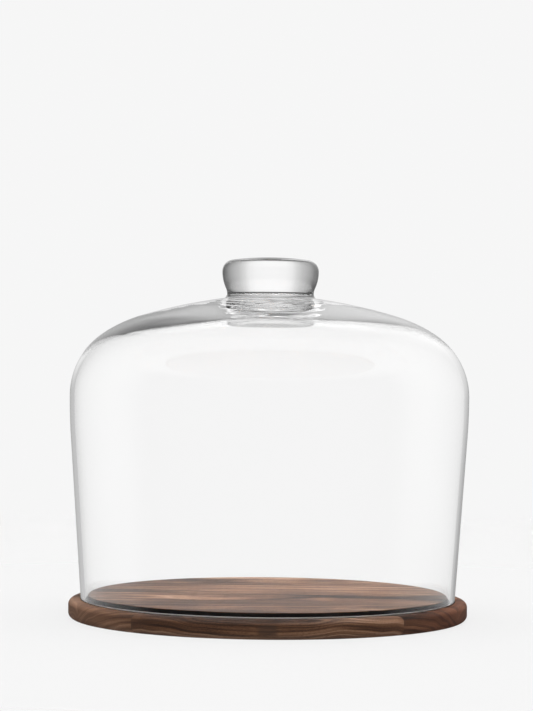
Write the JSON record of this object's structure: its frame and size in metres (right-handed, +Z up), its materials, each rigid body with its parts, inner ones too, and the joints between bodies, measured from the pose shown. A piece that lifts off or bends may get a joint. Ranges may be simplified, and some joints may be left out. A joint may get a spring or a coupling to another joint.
{
  "type": "bell jar dome",
  "caption": "Clear blown-glass bell dome with a solid glass knob, resting in the rebate of a round walnut display board.",
  "frame": {"origin": "centre of the board's underside, on the surface the object stands on", "axes": "+Z up along the dome's axis, +X along the grain and the glue seams of the board, -Y towards the front"},
  "size_m": [0.3205, 0.3204, 0.2893],
  "materials": {
    "walnut": "oiled, satin",
    "clear_glass": "clear, fire-polished"
  },
  "bodies": {
    "base": {"walnut_stave_1": "walnut", "walnut_stave_2": "walnut", "walnut_stave_3": "walnut", "walnut_stave_4": "walnut", "walnut_stave_5": "walnut", "walnut_stave_6": "walnut"},
    "dome": {"glass_dome_shell": "clear_glass", "glass_collar": "clear_glass", "glass_knob": "clear_glass"}
  },
  "joints": [
    {"name": "dome_lift", "type": "slide", "parent": "base", "child": "dome", "axis": [0, 0, 1], "range_m": [0, 0.26]}
  ]
}
